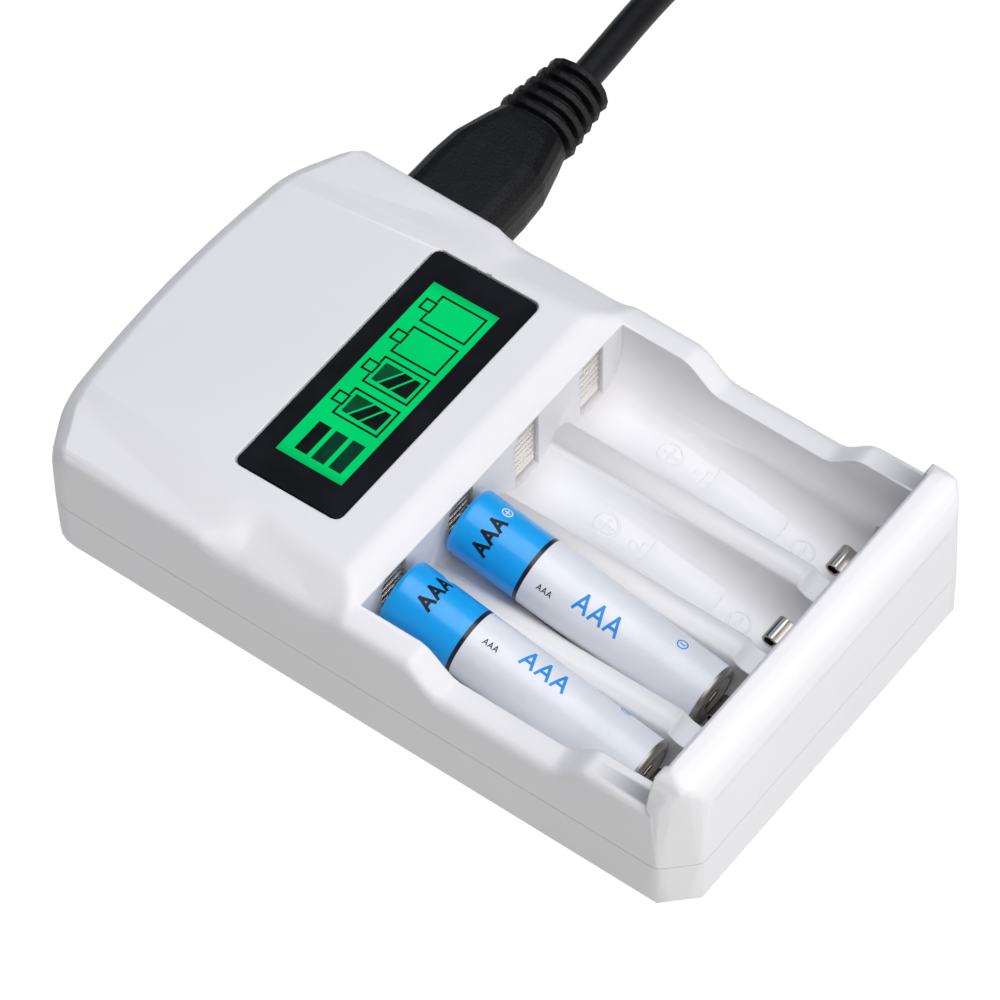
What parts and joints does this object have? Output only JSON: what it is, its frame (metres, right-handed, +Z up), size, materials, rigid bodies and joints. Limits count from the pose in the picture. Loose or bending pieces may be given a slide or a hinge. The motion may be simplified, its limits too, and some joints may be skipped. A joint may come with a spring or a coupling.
{
  "type": "battery charger",
  "caption": "White charger with open bays for round cells, a lit display in a raised head, sprung contacts and a coiled mains lead with a flat-bladed plug.",
  "frame": {"origin": "middle of the housing's flat underside", "axes": "+X across the bays towards the mains inlet, +Y from the bays to the display head, +Z up"},
  "size_m": [0.2344, 0.116, 0.0275],
  "materials": {
    "white_plastic": "fine satin moulding",
    "steel_screw": "plated",
    "dark_lens": "glossy, tinted",
    "display_glass": "glossy",
    "light_guide": "satin",
    "nickel_plate": "bright stamped strip",
    "board": "solder mask",
    "transformer_core": "taped",
    "capacitor_can": "sleeved",
    "black_moulding": "matt",
    "black_vinyl": "fine grained",
    "fuse_glass": "clear",
    "cell_sleeve": "printed film"
  },
  "bodies": {
    "charger": {"top_shell": "white_plastic", "bottom_cover": "white_plastic", "housing_screw_1": "steel_screw", "housing_screw_2": "steel_screw", "housing_screw_3": "steel_screw", "housing_screw_4": "steel_screw", "display_lens": "dark_lens", "lcd_glass": "display_glass", "lcd_backlight": "light_guide", "positive_contact_1": "nickel_plate", "positive_contact_2": "nickel_plate", "positive_contact_3": "nickel_plate", "positive_contact_4": "nickel_plate", "circuit_board": "board", "board_screw_1": "steel_screw", "board_screw_2": "steel_screw", "transformer": "transformer_core", "filter_capacitor_1": "capacitor_can", "filter_capacitor_2": "capacitor_can", "controller_chip": "black_moulding", "fuse": "fuse_glass", "inlet_socket": "black_moulding", "inlet_pin_1": "nickel_plate", "inlet_pin_2": "nickel_plate", "aaa_cell_1": "cell_sleeve", "aaa_cell_2": "cell_sleeve", "mains_cord": "black_vinyl", "mains_cord_end": "black_vinyl", "cord_coil": "black_vinyl", "cord_tie": "black_vinyl", "coupler_plug": "black_vinyl", "wall_plug": "black_vinyl", "wall_plug_blade_1": "nickel_plate", "wall_plug_blade_2": "nickel_plate"},
    "contact_1": {"negative_contact_1": "nickel_plate"},
    "contact_2": {"negative_contact_2": "nickel_plate"},
    "contact_3": {"negative_contact_3": "nickel_plate"},
    "contact_4": {"negative_contact_4": "nickel_plate"}
  },
  "joints": [
    {"name": "negative_contact_1_slide", "type": "slide", "parent": "charger", "child": "contact_1", "axis": [0, -0.9814, -0.1918], "range_m": [0, 0.0004], "stiffness_N_per_m": 1000, "springref_m": -0.0014},
    {"name": "negative_contact_2_slide", "type": "slide", "parent": "charger", "child": "contact_2", "axis": [0, -0.9814, -0.1918], "range_m": [0, 0.0004], "stiffness_N_per_m": 1000, "springref_m": -0.0014},
    {"name": "negative_contact_3_slide", "type": "slide", "parent": "charger", "child": "contact_3", "axis": [0, -0.9814, -0.1918], "range_m": [0, 0.0018], "stiffness_N_per_m": 1000},
    {"name": "negative_contact_4_slide", "type": "slide", "parent": "charger", "child": "contact_4", "axis": [0, -0.9814, -0.1918], "range_m": [0, 0.0018], "stiffness_N_per_m": 1000}
  ]
}
